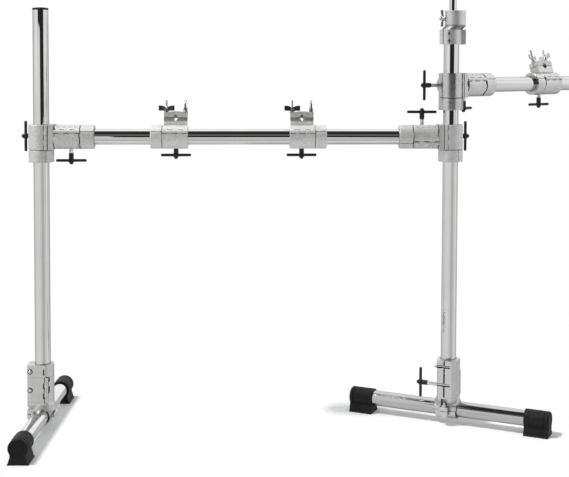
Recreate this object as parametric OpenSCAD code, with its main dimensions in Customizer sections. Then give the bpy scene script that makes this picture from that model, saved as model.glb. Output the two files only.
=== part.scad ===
// Drum rack frame: two T legs, a crossbar, a side arm and three jaw clamps on round tube.
// Millimetres, +Z up, +X along the crossbar to the right, +Y to the back.

/* [Tubes] */
// Outer diameter of the columns, crossbar, side arm and base tubes
tube_d = 38.1; // [34:0.1:42]
// Wall of every large tube
tube_wall = 2.0; // [1.2:0.1:3]
// Outer diameter of the slim tube above the right column
slim_d = 19.05; // [15:0.05:22]
// Wall of the slim tube
slim_wall = 1.6; // [1:0.1:2.5]
// Radial clearance between a tube and any clamp on it
slide_gap = 0.06; // [0.03:0.01:0.09]

/* [Layout] */
// Distance between the two column axes
column_gap = 1000; // [940:10:1400]
// Length of the left column tube
left_column_len = 965; // [940:5:1200]
// Height of the right column's top above the side arm's axis
right_column_rise = 136.5; // [120:0.5:400]
// Height of the crossbar axis above the floor
bar_h = 716.5; // [600:0.5:725]
// Height of the side arm axis above the crossbar axis
side_rise = 127.5; // [125:0.5:160]
// Length of the side arm tube
side_len = 406; // [395:5:700]
// Direction of the side arm, turned back from the crossbar's line
side_turn = 32; // [0:1:35]
// Turn of the left base tube from the crossbar's line
left_base_turn = 93; // [60:1:120]
// Turn of the right base tube from the crossbar's line
right_base_turn = 27.5; // [0:0.5:60]
// Distance of the left mount clamp's middle from the left column axis
left_mount_x = 323; // [190:1:330]
// Distance of the centre mount clamp's middle from the left column axis
centre_mount_x = 632.5; // [600:0.5:700]
// Distance of the side mount clamp's middle from the right column axis
side_mount_x = 337; // [200:1:360]
// Distance from the start of a tee's bar clamp to the end of the bar in it
bar_entry = 11; // [2:1:25]
// Length of the slim tube
slim_len = 200; // [190:5:600]
// Length of the slim tube inside the right column
slim_entry = 20; // [0:1:60]
// Thickness of the left column's end cap above the tube
cap_h = 3; // [2:0.5:8]
// Length of the end cap's plug inside the tube
cap_plug = 12; // [5:1:40]

/* [Base] */
// Length of a base from the outside of one foot to the outside of the other
base_len = 514; // [420:2:900]
// Height of the base tube axis above the floor
base_h = 37; // [36:0.5:60]
// Length of a rubber foot along the base tube
foot_len = 60; // [40:1:80]
// Rubber around the base tube
foot_wall = 4; // [2.5:0.5:7]
// Width of the flared sole of a foot
sole_w = 49; // [44:1:60]
// Thickness of the flared sole of a foot
sole_t = 3; // [2.5:0.5:8]
// Closed end wall of a foot
foot_end = 3; // [2:0.5:6]
// Depth of the groove around a foot
foot_groove = 1.5; // [0.5:0.5:2]
// Length of a leg clamp's saddle along the base tube
saddle_len = 56; // [50:1:70]
// Thickness of the strap under the base tube
strap_t = 5.5; // [4:0.5:7]
// Radius of the strap's bolt
strap_bolt_r = 3.2; // [2.5:0.1:3.6]

/* [Clamps] */
// Thickness of a tee's clamp castings around the tube
tee_wall = 11.4; // [10.5:0.1:13]
// Thickness of a mount clamp's castings around the tube
mount_wall = 10; // [9.5:0.5:13]
// Thickness of a leg clamp's castings around the column
leg_wall = 8; // [7.5:0.5:11]
// Length of a tee's clamp along the column
tee_h = 61; // [54:1:68]
// Length of a tee's clamp along its bar
tee_bar_len = 63; // [54:1:70]
// Distance between a tee's column bore and the start of its bar clamp
tee_web = 13; // [12.5:0.5:18]
// Distance of a tee's bar bolt from the middle of the bar clamp
tee_bolt_shift = 4; // [0:0.5:9]
// Length of a memory lock beside a tee's bar clamp
bar_lock_len = 33; // [24:1:36]
// Length of a memory lock under a tee's column clamp
column_lock_len = 30; // [22:1:32]
// Length of a memory lock beside a mount clamp
mount_lock_len = 28; // [22:1:34]
// Length of a mount clamp along its bar
mount_len = 62; // [56:1:68]
// Height of the part of a leg clamp that holds the column
leg_grip = 61; // [50:1:76]
// Length of the memory lock on top of a leg clamp
leg_lock_len = 29.5; // [22:0.5:42]
// Slit between the two ears of a clamp
slit = 2.4; // [1.5:0.1:4]
// Distance of a clamp's swing bolt from the tube's surface
bolt_off = 8.4; // [8:0.1:9.5]
// Radius of a hinge knuckle
knuckle_r = 4.6; // [4:0.1:5]
// Radius of a hinge pin
pin_r = 1.8; // [1.2:0.1:2.4]
// Room around a hinge knuckle in the other half's pocket
knuckle_room = 1.2; // [0.3:0.1:2]
// Chamfer of the round castings' rims
rim = 1.2; // [0.4:0.1:2]
// Air between two pieces that turn or slide past each other face to face
face_gap = 0.3; // [0.2:0.05:0.5]

/* [Handles] */
// Length of a T handle's grip bar
grip_len = 75; // [50:1:77]
// Radius of a T handle's grip bar
grip_r = 3.5; // [2.5:0.1:4.5]
// Length of a T handle's hub below the grip bar
hub_len = 18; // [14:0.5:19]
// Radius of a T handle's hub
hub_r = 6; // [5:0.1:7]
// Radius of a swing bolt's thread
stud_r = 3.5; // [2.5:0.1:3.8]
// Radial clearance of a nut or handle that turns on its bolt
turn_gap = 0.06; // [0.03:0.01:0.09]

/* [Jaws] */
// Lean of a mount clamp's jaws away from the front
jaw_lean = 20; // [10:1:22]
// Width of the jaws
jaw_w = 56; // [54:1:60]
// Length of the jaws along the tube that they hold
jaw_depth = 28; // [22:1:32]
// Height of the middle of the jaws' opening above the bar axis
jaw_h = 46; // [43:1:52]
// Half of the diagonal of the jaws' square opening
jaw_v = 8.5; // [6.5:0.5:10.5]
// Gap between the jaws
jaw_gap = 1; // [0.5:0.5:4]
// Height of the upper jaw at its ends
jaw_cap = 12; // [10.5:0.5:16]
// Rise of the arch on top of the upper jaw
jaw_arch = 4; // [2:0.5:6]
// Distance between a mount clamp's two jaw bolts
jaw_bolt_span = 46.4; // [44:0.2:47]
// Radius of a jaw bolt
jaw_bolt_r = 3; // [2.5:0.1:3.2]
// Length of a jaw bolt above the upper jaw's ends
jaw_bolt_tail = 36; // [26:1:60]
// Reach of a wing nut's wings
wing_reach = 19.5; // [16:0.5:20]
// Height of a wing nut's hub
wing_hub = 14; // [10:1:17]

/* [Hidden] */
$fn = 48;

chrome = [0.82, 0.83, 0.85];
casting = [0.70, 0.71, 0.72];
plastic = [0.06, 0.06, 0.065];
rubber = [0.05, 0.05, 0.055];

// Length by which a cut runs past the solid that it cuts
past = 1;
// Radial clearance of a bolt or pin in its own seat
seat_fit = 0.1;

tube_r = tube_d / 2;
bore_r = tube_r + slide_gap;
slim_r = slim_d / 2;
tee_r = tube_r + tee_wall;
tee_bar_r = tee_r - 1;
mount_r = tube_r + mount_wall;
leg_r = tube_r + leg_wall;

// A half of a clamp reaches from its hinge to its slit, as angles about the tube
slit_angle = 90;
tee_hinge = -60;
leg_hinge = -30;
knuckle_count = 5;
knuckle_inset = 1.5;

// Swing bolt: barrel nut, collar, and the slot that it swings out of
bolt_y = tube_r + bolt_off;
barrel_r = 5;
barrel_h = 16;
collar_r = 5;
bolt_slot = stud_r + 0.3;
collar_room = collar_r + 0.3;
swing_room = 60;
hub_floor = 2;
stud_bottom_gap = 1;

// Pair of ears of a round clamp: half width, reach and height; and its barrel nut's place
ear_x = 15;
ear_y = bolt_y + 8.5;
ear_h = 26;
ear_root_h = 38;
ear_root = 3;
ear_slope = 5;
round_barrel_x = 8.2;

// Flat front of a leg clamp: its two sides, its distance from the column axis, the chamfers of
// its two corners, and how far behind the column axis its sides end
leg_front = [-19, 27];
leg_front_y = tube_r + 15;
leg_corner = [3, 8];
leg_back_y = -12;
leg_barrel_x = 16;
leg_hinge_r = leg_r + 2;
leg_lock_stud_r = 3;
leg_lock_washer = 4;
leg_lock_head = [3, 6];

// Key screw of a memory lock or of the reducer
key_r = 2.5;
key_head_r = 4.4;
key_head_h = 3;
key_socket_r = 2;
key_socket_h = 2;
key_short = 1;
key_y = bore_r + key_head_r + 1;
lock_ear_x = 9;
lock_ear_y = key_y + key_head_r + 1.5;
lock_ear_h = 14;
lock_groove = [1, 1.2];

// Reach of each T handle from its clamp's slit to its grip bar, and length of its cap past that
leg_reach = 63;
tee_column_reach = 42;
tee_bar_reach = 60;
side_column_reach = 63;
mount_reach = 47;
side_mount_reach = 56;
cap_cone = 5;
cap_tip_r = 3;
cap_len = hub_r + 3.6;
ball_r = hub_r + 1.6;

// Heights of a leg above the floor
column_foot = base_h + tube_r + 2.4;
saddle_top = base_h + 22;
leg_split = base_h + 34.5;
leg_top = leg_split + leg_grip;
leg_middle = leg_split + leg_grip / 2;
leg_lock_h = leg_top + face_gap;
flare_bottom = base_h + 14;
flare_h = 18;
flare_r = saddle_len / 2 + 6;

// The two sides of the groove around a foot, from the foot's closed end
foot_groove_x = [9, 12];
foot_edge = 2;
foot_r = tube_r + foot_wall;
foot_waist = sole_w / 2 - 6.5;
foot_slope = 16;

// Strap: ears and bolt in front, hinge at the back
saddle_r = tube_r + strap_t;
strap_bolt_y = tube_r + 12;
strap_ear_x = 10;
strap_ear_y = strap_bolt_y + 6;
strap_ear_h = 10;
strap_gap = 0.6;
strap_inset = 2;
strap_head_r = 6;
strap_head_h = 5;
strap_pocket_r = 8;
strap_pocket_h = leg_split - base_h - strap_ear_h - 4;
strap_bolt_len = 2 * (strap_ear_h + strap_gap + strap_head_h) + 6;
strap_knuckle_r = 4;
strap_hinge_y = saddle_r + 3.5;
strap_hinge_x = [8, 20];

// Places along the crossbar and the side arm, from the column axis
tee_bar_start = bore_r + tee_web;
tee_bar_middle = tee_bar_start + tee_bar_len / 2;
tee_lock_start = tee_bar_start + tee_bar_len + face_gap;
bar_start = tee_bar_start + bar_entry;
tee_block_start = 20;
tee_block_y = tee_r - 3;

// Jaws: foot of the lower jaw, plane of the bolts, top of the upper jaw, seats of the nuts
jaw_foot = 12;
jaw_plane_y = 5;
jaw_cap_top = jaw_h + jaw_gap / 2 + jaw_cap;
jaw_pin_r = 1.8;
jaw_pin_h = jaw_h - jaw_gap / 2 - 5;
jaw_bolt_foot = jaw_pin_h - 4;
jaw_bolt_tip = jaw_cap_top + jaw_bolt_tail;
jaw_bolt_room = 0.3;
nut_flange_r = 6.3;
nut_flange_h = 2;
nut_seat = jaw_cap_top + 0.65 * jaw_arch;
wing_t = 3.2;

// Reducer on top of the right column
reducer_grip = 36;
reducer_head = 38;
reducer_step = 9;
reducer_shift = 9;
reducer_r = tube_r + 7;
reducer_head_r = 25.5;
reducer_lug = [33, 30];
reducer_ears_turn = 128;
reducer_ear_x = 12;
reducer_screws = [9, 27];
slim_shift = 3;
wing_screw_r = 3;
wing_screw_reach = 20.5;
wing_nut_span = [7, 20];
wing_screw_span = [4, 11];
side_h = bar_h + side_rise;
right_column_top = side_h + right_column_rise;
right_column_len = right_column_top - column_foot;
reducer_bottom = right_column_top - reducer_grip;
reducer_head_h = right_column_top + reducer_step;
wing_screw_h = reducer_head_h + reducer_head / 2;
slim_bottom = right_column_top - slim_entry;

// The origin lies on the floor in the middle of the whole outline
outline_left = -max(tee_column_reach + cap_len, base_reach(90 - left_base_turn));
outline_right = column_gap + max(side_reach(90 - side_turn), base_reach(90 - right_base_turn));
outline_front = -max(base_reach(left_base_turn), base_reach(right_base_turn));
outline_back = max(-outline_front, side_reach(side_turn));
left_x = -(outline_left + outline_right) / 2;
right_x = left_x + column_gap;
rack_y = -(outline_front + outline_back) / 2;

// How far the side arm and a base reach across a direction that they are turned from
function side_reach(turn) = (bar_start + side_len) * sin(turn) + tube_r * cos(turn);
function base_reach(turn) = base_len / 2 * abs(sin(turn)) + max(sole_w / 2, foot_r) * abs(cos(turn));

// Places of the sub-assemblies
module at_left_column() { translate([left_x, rack_y, 0]) children(); }
module at_right_column() { translate([right_x, rack_y, 0]) children(); }
module at_left_leg() { at_left_column() rotate([0, 0, -left_base_turn]) mirror([0, 1, 0]) children(); }
module at_right_leg() { at_right_column() rotate([0, 0, -right_base_turn]) mirror([0, 1, 0]) children(); }
module at_left_tee() { at_left_column() translate([0, 0, bar_h]) children(); }
module at_right_tee() { at_right_column() translate([0, 0, bar_h]) rotate([0, 180, 0]) children(); }
module at_side_tee() { at_right_column() translate([0, 0, side_h]) rotate([0, 0, side_turn]) children(); }
module at_left_mount() { at_left_tee() translate([left_mount_x, 0, 0]) children(); }
module at_centre_mount() { at_left_tee() translate([centre_mount_x, 0, 0]) children(); }
module at_side_mount() { at_side_tee() translate([side_mount_x, 0, 0]) children(); }

// Turns a clamp that is drawn about Z so that it holds a bar along X, with its handle down
module along_bar() { rotate([0, -90, 0]) children(); }
// Turns what is drawn upright into the leaning plane of a mount clamp's jaws
module in_jaw_plane() { rotate([-jaw_lean, 0, 0]) translate([0, jaw_plane_y, 0]) children(); }
module at_jaw_bolts() {
    in_jaw_plane() for (side = [-1, 1]) translate([side * jaw_bolt_span / 2, 0, 0]) children();
}

// A cylinder along X from one place to another
module rod_x(r, from_x, to_x) {
    translate([from_x, 0, 0]) rotate([0, 90, 0]) cylinder(r = r, h = to_x - from_x);
}

// A length of tube along Z
module tube(r, wall, length) {
    difference() {
        cylinder(r = r, h = length);
        translate([0, 0, -past]) cylinder(r = r - wall, h = length + 2 * past);
    }
}

// A solid cylinder about Z and about z = 0 with both rims chamfered
module drum(r, h) {
    rotate_extrude() polygon([
        [0, -h / 2], [r - rim, -h / 2], [r, rim - h / 2], [r, h / 2 - rim], [r - rim, h / 2], [0, h / 2]
    ]);
}

// A wedge about Z from one angle to another, under half a turn
module wedge(from_angle, to_angle, h) {
    reach = 120;
    middle = (from_angle + to_angle) / 2;
    translate([0, 0, -h / 2]) linear_extrude(h)
        polygon([[0, 0], for (a = [from_angle, middle, to_angle]) reach * [cos(a), sin(a)]]);
}

// What the hinge and the slit take out between the two halves of a clamp
module clamp_partings(hinge, h) {
    translate([-slit / 2, 0, -h / 2]) cube([slit, swing_room, h]);
    rotate([0, 0, hinge]) translate([0, -face_gap, -h / 2]) cube([swing_room, 2 * face_gap, h]);
}

// Slot and seat for a swing bolt across the ears
module bolt_channel(barrel_x, ear_face, z) {
    translate([0, bolt_y, z]) rod_x(bolt_slot, -swing_room, barrel_x);
    translate([-swing_room, bolt_y, z - bolt_slot])
        cube([swing_room + barrel_x, swing_room, 2 * bolt_slot]);
    translate([barrel_x, bolt_y, z])
        cylinder(r = barrel_r + seat_fit, h = barrel_h + 2 * seat_fit, center = true);
    translate([0, bolt_y, z]) rod_x(collar_room, -swing_room, -ear_face);
}

// Swing bolt: barrel nut, threaded stud and the collar that ends under the handle's hub
module swing_bolt(barrel_x, ear_face, reach, z) {
    translate([barrel_x, bolt_y, z]) cylinder(r = barrel_r, h = barrel_h, center = true);
    translate([0, bolt_y, z]) {
        rod_x(stud_r, -reach + hub_floor + stud_bottom_gap, barrel_x);
        rod_x(collar_r, -reach + hub_len + face_gap, -ear_face - seat_fit);
    }
}

// T handle on the swing bolt: hub, ball, cap and grip bar, with a blind bore for the stud
module t_handle(reach, z = 0, turn = 0) {
    grip_straight = grip_len - 2 * grip_r;
    translate([-reach, bolt_y, z]) rotate([turn, 0, 0]) difference() {
        union() {
            rod_x(hub_r, 0, hub_len);
            sphere(r = ball_r);
            translate([-cap_len, 0, 0]) rotate([0, 90, 0]) cylinder(r1 = cap_tip_r, r2 = hub_r, h = cap_cone);
            cylinder(r = grip_r, h = grip_straight, center = true);
            for (end = [-1, 1]) translate([0, 0, end * grip_straight / 2]) sphere(r = grip_r);
        }
        rod_x(stud_r + turn_gap, hub_floor, hub_len + past);
    }
}

// Hinge knuckles of one half: every second one, from the first or the second
module knuckles(hinge, r, h, first, grow = 0, room = 0) {
    step = h / knuckle_count;
    rotate([0, 0, hinge]) translate([r - knuckle_inset, 0, -h / 2])
        for (i = [first : 2 : knuckle_count - 1]) translate([0, 0, i * step + face_gap / 2 - grow])
            cylinder(r = knuckle_r + room, h = step - face_gap + 2 * grow);
}

// Pockets of one half for the other half's knuckles
module knuckle_pockets(hinge, r, h, first) { knuckles(hinge, r, h, 1 - first, face_gap, knuckle_room); }

module hinge_pin(hinge, r, h, grow = 0) {
    rotate([0, 0, hinge]) translate([r - knuckle_inset, 0, 0])
        cylinder(r = pin_r + grow, h = h, center = true);
}

// One half of a hinged clamp about Z, cut from its children: the half inside the wedge between
// the hinge and the slit, or the half outside it
module clamp_half(r, h, hinge, inside, first, barrel_x, ear_face, bolt_z) {
    cut_h = h + 20;
    difference() {
        union() {
            difference() {
                if (inside) intersection() {
                    children();
                    wedge(hinge, slit_angle, cut_h);
                }
                else difference() {
                    children();
                    wedge(hinge, slit_angle, cut_h);
                }
                knuckle_pockets(hinge, r, h, first);
                clamp_partings(hinge, cut_h);
            }
            knuckles(hinge, r, h, first);
        }
        cylinder(r = bore_r, h = cut_h, center = true);
        hinge_pin(hinge, r, cut_h, seat_fit);
        bolt_channel(barrel_x, ear_face, bolt_z);
    }
}

// Outside of a round clamp about Z, with its pair of ears towards +Y
module round_outside(r, h, bolt_z) {
    drum(r, h);
    translate([-ear_x, 0, bolt_z]) rotate([90, 0, 90]) linear_extrude(2 * ear_x) polygon([
        [0, -ear_root_h / 2], [r - ear_root, -ear_root_h / 2], [ear_y, ear_slope - ear_h / 2],
        [ear_y, ear_h / 2 - ear_slope], [r - ear_root, ear_root_h / 2], [0, ear_root_h / 2]
    ]);
}

module round_body(r, h, bolt_z = 0) {
    clamp_half(r, h, tee_hinge, true, 0, round_barrel_x, ear_x, bolt_z) round_outside(r, h, bolt_z);
}

module round_gate(r, h, bolt_z = 0) {
    difference() {
        clamp_half(r, h, tee_hinge, false, 1, round_barrel_x, ear_x, bolt_z) round_outside(r, h, bolt_z);
        for (end = [-1, 1]) translate([0, 0, end * h / 2]) cube([4 * r, 4 * r, 2 * face_gap], center = true);
    }
}

module round_bolts(r, h, reach, bolt_z = 0) {
    swing_bolt(round_barrel_x, ear_x, reach, bolt_z);
    hinge_pin(tee_hinge, r, h);
}

// Key screw across a slit, with its head on the -X side, and the hole that it takes
module key_screw(half, z) {
    translate([0, key_y, z]) difference() {
        union() {
            rod_x(key_r, -half, half - key_short);
            rod_x(key_head_r, -half, key_head_h - half);
        }
        rod_x(key_socket_r, -half - past, key_socket_h - half);
    }
}

module key_hole(half, z) {
    translate([0, key_y, z]) {
        rod_x(key_r + seat_fit, -half, half - key_short + seat_fit);
        rod_x(key_head_r + seat_fit, -half - 20, key_head_h - half + seat_fit);
    }
}

// Memory lock: a split ring from z = 0 up, with a key screw across its slit and a groove down
// its outside in line with the clamp's hinge
module lock_ring(r, h) {
    difference() {
        union() {
            translate([0, 0, h / 2]) drum(r, h);
            translate([-lock_ear_x, 0, (h - lock_ear_h) / 2]) cube([2 * lock_ear_x, lock_ear_y, lock_ear_h]);
        }
        translate([0, 0, -past]) cylinder(r = bore_r, h = h + 2 * past);
        translate([-slit / 2, 0, -past]) cube([slit, swing_room, h + 2 * past]);
        key_hole(lock_ear_x, h / 2);
        rotate([0, 0, tee_hinge]) translate([r - lock_groove[0], -lock_groove[1] / 2, -past])
            cube([2 * lock_groove[0], lock_groove[1], h + 2 * past]);
    }
    key_screw(lock_ear_x, h / 2);
}

// Tee: one casting with a body half on the column and a body half on the bar along +X
module tee_body() {
    difference() {
        union() {
            round_body(tee_r, tee_h);
            translate([tee_bar_middle, 0, 0]) along_bar() round_body(tee_bar_r, tee_bar_len, -tee_bolt_shift);
            translate([tee_block_start, -tee_block_y, -tee_h / 2])
                cube([tee_bar_start - tee_block_start, 2 * tee_block_y, tee_h]);
        }
        cylinder(r = bore_r, h = tee_h + 2 * past, center = true);
        knuckle_pockets(tee_hinge, tee_r, tee_h, 0);
        rod_x(bore_r, bar_start - face_gap, tee_lock_start);
    }
}

module tee_gate_pair() {
    round_gate(tee_r, tee_h);
    translate([tee_bar_middle, 0, 0]) along_bar() round_gate(tee_bar_r, tee_bar_len, -tee_bolt_shift);
}

module tee_bolt_pair(column_reach) {
    round_bolts(tee_r, tee_h, column_reach);
    translate([tee_bar_middle, 0, 0]) along_bar()
        round_bolts(tee_bar_r, tee_bar_len, tee_bar_reach, -tee_bolt_shift);
}

module tee_bar_lock() {
    translate([tee_lock_start + bar_lock_len, 0, 0]) along_bar() lock_ring(tee_bar_r, bar_lock_len);
}

module tee_column_lock() {
    translate([0, 0, -tee_h / 2 - face_gap - column_lock_len]) lock_ring(tee_r, column_lock_len);
}

module tee_bar_handle(turn = 0) {
    translate([tee_bar_middle, 0, 0]) along_bar() t_handle(tee_bar_reach, -tee_bolt_shift, turn);
}

// Leg, drawn about the column axis from the floor up: base tube along X, slit towards +Y
module leg_outline() {
    circle(r = leg_r);
    polygon([
        [leg_front[0], leg_back_y], [leg_front[1], leg_back_y],
        [leg_front[1], leg_front_y - leg_corner[1]], [leg_front[1] - leg_corner[1], leg_front_y],
        [leg_front[0] + leg_corner[0], leg_front_y], [leg_front[0], leg_front_y - leg_corner[0]]
    ]);
}

module leg_half(inside, first) {
    translate([0, 0, leg_middle])
        clamp_half(leg_hinge_r, leg_grip, leg_hinge, inside, first, leg_barrel_x, -leg_front[0], 0)
            linear_extrude(leg_grip, center = true) leg_outline();
}

module leg_clamp() {
    difference() {
        union() {
            leg_half(false, 0);
            translate([0, 0, saddle_top]) linear_extrude(leg_split - saddle_top) leg_outline();
            translate([0, 0, flare_bottom]) cylinder(r1 = flare_r, r2 = leg_r, h = flare_h);
            intersection() {
                translate([0, 0, base_h]) rod_x(saddle_r, -saddle_len / 2, saddle_len / 2);
                above_strap();
            }
            translate([-strap_ear_x, 0, base_h + strap_gap])
                cube([2 * strap_ear_x, strap_ear_y, strap_ear_h]);
            for (side = [-1, 1]) strap_knuckle(side * strap_hinge_x[0], side * strap_hinge_x[1], 1);
        }
        translate([0, 0, base_h]) rod_x(bore_r, -swing_room, swing_room);
        translate([0, 0, column_foot - face_gap]) cylinder(r = bore_r, h = leg_split);
        translate([0, 0, base_h]) strap_pin(seat_fit);
        strap_bolt_hole();
        strap_knuckle(-strap_hinge_x[0], strap_hinge_x[0], 0, face_gap);
    }
}

module above_strap() {
    translate([-swing_room, -swing_room, base_h + strap_gap]) cube(2 * swing_room);
}

module below_strap() {
    translate([-swing_room, -swing_room, base_h - strap_gap - 2 * swing_room]) cube(2 * swing_room);
}

module strap_pin(grow = 0) {
    translate([0, -strap_hinge_y, 0]) rod_x(pin_r + grow, -strap_hinge_x[1], strap_hinge_x[1]);
}

// Knuckle of the strap's hinge, with the web that joins it to the saddle above or the strap below
module strap_knuckle(from_x, to_x, above, grow = 0) {
    start = min(from_x, to_x) + (grow > 0 ? -grow : face_gap / 2);
    end = max(from_x, to_x) + (grow > 0 ? grow : -face_gap / 2);
    translate([0, -strap_hinge_y, base_h]) {
        rod_x(strap_knuckle_r + grow, start, end);
        if (grow == 0) translate([start, 0, above > 0 ? strap_gap : -strap_knuckle_r])
            cube([end - start, strap_hinge_y - tube_r - strap_inset, strap_knuckle_r - strap_gap]);
    }
}

// The strap bolt's hole through the ears, and the pocket for its nut
module strap_bolt_hole() {
    translate([0, strap_bolt_y, base_h]) {
        cylinder(r = strap_bolt_r + seat_fit, h = swing_room, center = true);
        translate([0, 0, strap_gap + strap_ear_h]) cylinder(r = strap_pocket_r, h = strap_pocket_h);
    }
}

module strap() {
    difference() {
        union() {
            intersection() {
                translate([0, 0, base_h])
                    rod_x(saddle_r, strap_inset - saddle_len / 2, saddle_len / 2 - strap_inset);
                below_strap();
            }
            translate([-strap_ear_x, 0, base_h - strap_gap - strap_ear_h])
                cube([2 * strap_ear_x, strap_ear_y, strap_ear_h]);
            strap_knuckle(-strap_hinge_x[0], strap_hinge_x[0], 0);
        }
        translate([0, 0, base_h]) rod_x(bore_r, -swing_room, swing_room);
        translate([0, 0, base_h]) strap_pin(seat_fit);
        strap_bolt_hole();
        for (side = [-1, 1])
            strap_knuckle(side * strap_hinge_x[0], side * strap_hinge_x[1], 1, face_gap);
    }
}

module leg_gates() {
    difference() {
        leg_half(true, 1);
        translate([0, 0, leg_split]) cube([4 * leg_r, 4 * leg_r, 2 * face_gap], center = true);
    }
    strap();
}

module leg_bolts() {
    swing_bolt(leg_barrel_x, -leg_front[0], leg_reach, leg_middle);
    translate([0, 0, leg_middle]) hinge_pin(leg_hinge, leg_hinge_r, leg_grip);
    translate([0, 0, base_h]) strap_pin();
    translate([0, strap_bolt_y, base_h - strap_gap - strap_ear_h - seat_fit - strap_head_h]) {
        cylinder(r = strap_head_r, h = strap_head_h);
        cylinder(r = strap_bolt_r, h = strap_bolt_len);
    }
    translate([0, strap_bolt_y, base_h + strap_gap + strap_ear_h + seat_fit])
        cylinder(r = strap_head_r, h = strap_head_h);
}

module leg_handle() { t_handle(leg_reach, leg_middle); }

// Memory lock on top of the leg clamp, with the leg's flat front and a bolt across its slit
module leg_lock() {
    middle = leg_lock_h + leg_lock_len / 2;
    head_x = leg_front[0] - seat_fit;
    difference() {
        translate([0, 0, leg_lock_h]) linear_extrude(leg_lock_len) leg_outline();
        translate([0, 0, leg_lock_h - past]) cylinder(r = bore_r, h = leg_lock_len + 2 * past);
        translate([-slit / 2, 0, leg_lock_h - past]) cube([slit, swing_room, leg_lock_len + 2 * past]);
        bolt_channel(leg_barrel_x, -leg_front[0], middle);
    }
    translate([leg_barrel_x, bolt_y, middle]) cylinder(r = barrel_r, h = barrel_h, center = true);
    translate([0, bolt_y, middle]) {
        rod_x(leg_lock_stud_r, head_x, leg_barrel_x);
        rod_x(barrel_r, head_x - leg_lock_washer, head_x);
        translate([head_x - leg_lock_washer - leg_lock_head[0], -leg_lock_head[1] / 2, -leg_lock_head[1] / 2])
            cube([leg_lock_head[0] + past, leg_lock_head[1], leg_lock_head[1]]);
    }
}

module base_tube() {
    straight = base_len - 2 * foot_end;
    translate([-straight / 2, 0, base_h]) rotate([0, 90, 0]) tube(tube_r, tube_wall, straight);
}

// Round sleeve of a foot, from its closed end at x = 0 back along the tube, with a groove around it
module foot_sleeve() {
    rotate([0, -90, 0]) rotate_extrude() polygon([
        [0, 0], [foot_r - foot_edge, 0], [foot_r, foot_edge],
        [foot_r, foot_groove_x[0]], [foot_r - foot_groove, foot_groove_x[0]],
        [foot_r - foot_groove, foot_groove_x[1]], [foot_r, foot_groove_x[1]],
        [foot_r, foot_len], [0, foot_len]
    ]);
}

module base_feet() {
    half = sole_w / 2;
    for (end = [0, 180]) rotate([0, 0, end]) translate([base_len / 2, 0, 0]) difference() {
        union() {
            translate([0, 0, base_h]) foot_sleeve();
            rotate([90, 0, -90]) linear_extrude(foot_len) polygon([
                [-half, 0], [half, 0], [half, sole_t - foot_edge], [half - foot_edge, sole_t],
                [foot_waist, sole_t + foot_slope], [foot_waist, base_h], [-foot_waist, base_h],
                [-foot_waist, sole_t + foot_slope], [foot_edge - half, sole_t], [-half, sole_t - foot_edge]
            ]);
        }
        translate([0, 0, base_h]) rod_x(tube_r + seat_fit, -foot_len - past, -foot_end);
    }
}

// Jaw clamp for a bar along X, drawn about its middle, with its jaws up and leaning back
module jaw_block(bottom, top) {
    translate([-jaw_w / 2, -jaw_depth / 2, bottom]) cube([jaw_w, jaw_depth, top - bottom]);
}

module jaw_opening() {
    side = jaw_v * sqrt(2);
    translate([0, 0, jaw_h]) rotate([0, 45, 0]) cube([side, 2 * jaw_depth, side], center = true);
}

module mount_saddle() {
    difference() {
        union() {
            along_bar() round_body(mount_r, mount_len);
            difference() {
                in_jaw_plane() jaw_block(jaw_foot, jaw_h - jaw_gap / 2);
                rod_x(bore_r, -mount_len, mount_len);
                along_bar() bolt_channel(round_barrel_x, ear_x, 0);
            }
        }
        in_jaw_plane() jaw_opening();
        at_jaw_bolts() translate([0, 0, jaw_bolt_foot - seat_fit])
            cylinder(r = jaw_bolt_r + seat_fit, h = jaw_h);
        at_jaw_bolts() jaw_pin(seat_fit);
    }
}

module jaw_pin(grow = 0) {
    translate([0, 0, jaw_pin_h]) rotate([90, 0, 0])
        cylinder(r = jaw_pin_r + grow, h = jaw_depth, center = true);
}

module mount_jaw() {
    arch_r = (jaw_w * jaw_w / 4 + jaw_arch * jaw_arch) / (2 * jaw_arch);
    bottom = jaw_h + jaw_gap / 2;
    difference() {
        union() {
            in_jaw_plane() intersection() {
                jaw_block(bottom, jaw_cap_top + jaw_arch);
                translate([0, 0, jaw_cap_top + jaw_arch - arch_r]) rotate([90, 0, 0])
                    cylinder(r = arch_r, h = 2 * jaw_depth, center = true, $fn = 240);
            }
            at_jaw_bolts() translate([0, 0, bottom]) cylinder(r = nut_flange_r, h = nut_seat - bottom);
        }
        in_jaw_plane() jaw_opening();
        at_jaw_bolts() cylinder(r = jaw_bolt_r + jaw_bolt_room, h = jaw_bolt_tip);
    }
}

module mount_gate() { along_bar() round_gate(mount_r, mount_len); }

module mount_bolts(reach) {
    along_bar() round_bolts(mount_r, mount_len, reach);
    at_jaw_bolts() {
        translate([0, 0, jaw_bolt_foot]) cylinder(r = jaw_bolt_r, h = jaw_bolt_tip - jaw_bolt_foot);
        jaw_pin();
    }
}

module mount_handle(reach) { along_bar() t_handle(reach); }

// Lock beside the clamp: on its left with side -1, on its right with side 1
module mount_lock(side) {
    start = mount_len / 2 + face_gap;
    end = side < 0 ? -start : start + mount_lock_len;
    translate([end, 0, 0]) along_bar() lock_ring(mount_r, mount_lock_len);
}

// Two wings towards +X and -X, thin along Y, between two heights along Z
module wings(reach, span) {
    foot = span[0];
    top = span[1];
    for (turn = [0, 180]) rotate([90, 0, turn]) linear_extrude(wing_t, center = true) polygon([
        [2, foot - 3], [0.4 * reach, foot], [reach - 1.5, foot], [reach, foot + 1.5],
        [reach, top - 1.5], [reach - 1.5, top], [0.5 * reach, top - 1], [2, top - 4]
    ]);
}

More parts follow.
